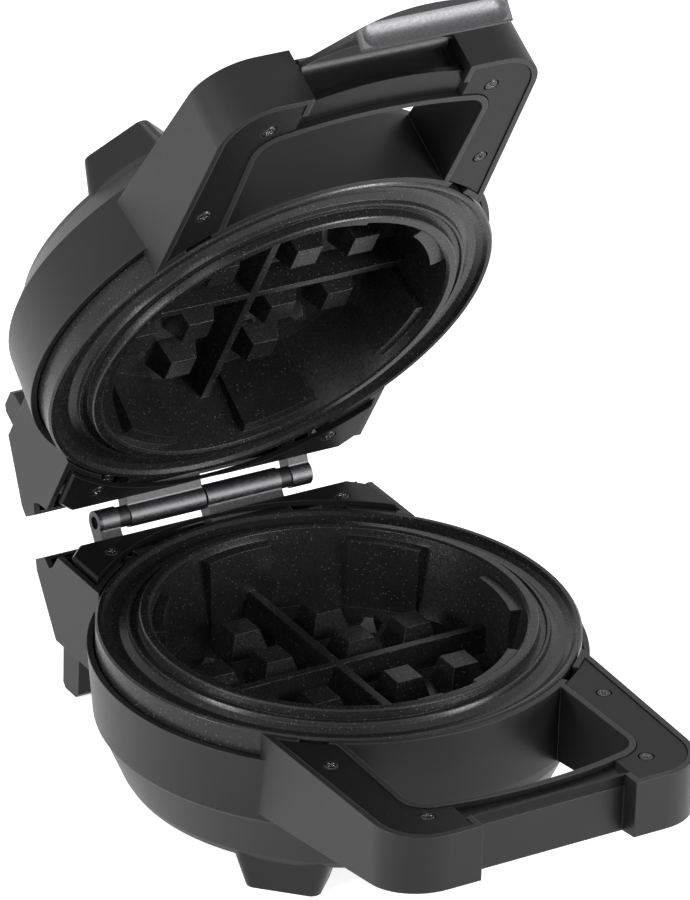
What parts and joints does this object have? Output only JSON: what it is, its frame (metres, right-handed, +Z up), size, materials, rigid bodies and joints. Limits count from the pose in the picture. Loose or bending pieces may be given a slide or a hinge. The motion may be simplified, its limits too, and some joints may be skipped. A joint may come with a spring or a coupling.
{
  "type": "stuffed waffle maker",
  "caption": "Round countertop waffle cooker with a hinged lid, deep cast plates with ribs and posts, and handles joined by a swing latch.",
  "frame": {"origin": "on the table plane, under the centre of the box of the rest pose", "axes": "+Z up, +X to the right of the person at the handle, +Y to the rear, towards the hinge"},
  "size_m": [0.1904, 0.3289, 0.346],
  "materials": {
    "ceramic_like": "off-white moulded insulator",
    "control": "plated cap",
    "cover": "satin black moulding",
    "element": "steel sheath, heat tinted",
    "green_lens": "clear green",
    "housing": "matte black heat-resistant moulding with a fine grain",
    "latch": "dark metallic-look moulding",
    "nylon": "black nylon",
    "pin": "plain ground steel",
    "plate": "die-cast aluminium with a dark non-stick coating",
    "red_lens": "clear red",
    "reflector": "plain pressed sheet",
    "rubber": "soft black pads",
    "screw": "blackened steel, cross recess"
  },
  "bodies": {
    "base": {"base_housing": "housing", "foot_pads": "rubber", "base_handle_cover": "cover", "base_hinge_cover": "cover", "lower_plate": "plate", "lower_heating_element": "element", "lower_heat_reflector": "reflector", "base_handle_screws": "screw", "base_hinge_cover_screws": "screw", "lower_plate_screws": "screw", "lower_reflector_screws": "screw", "thermostat": "control", "hinge_pin": "pin", "hinge_spacers": "nylon", "cord_gland": "nylon", "terminal_block": "ceramic_like"},
    "lid": {"lid_housing": "housing", "lid_handle_cover": "cover", "lid_hinge_cover": "cover", "upper_plate": "plate", "upper_heating_element": "element", "upper_heat_reflector": "reflector", "lid_handle_screws": "screw", "lid_hinge_cover_screws": "screw", "upper_plate_screws": "screw", "upper_reflector_screws": "screw", "latch_pin": "pin", "power_lens": "red_lens", "ready_lens": "green_lens", "thermal_fuse": "control"},
    "latch": {"latch": "latch"}
  },
  "joints": [
    {"name": "lid_hinge", "type": "hinge", "parent": "base", "child": "lid", "pos_m": [0, 0.09802, 0.0785], "axis": [-1, 0, 0], "range_deg": [-59, 41]},
    {"name": "latch_hinge", "type": "hinge", "parent": "lid", "child": "latch", "pos_m": [0, -0.0178, 0.31106], "axis": [-1, 0, 0], "range_deg": [-66, 24]}
  ]
}
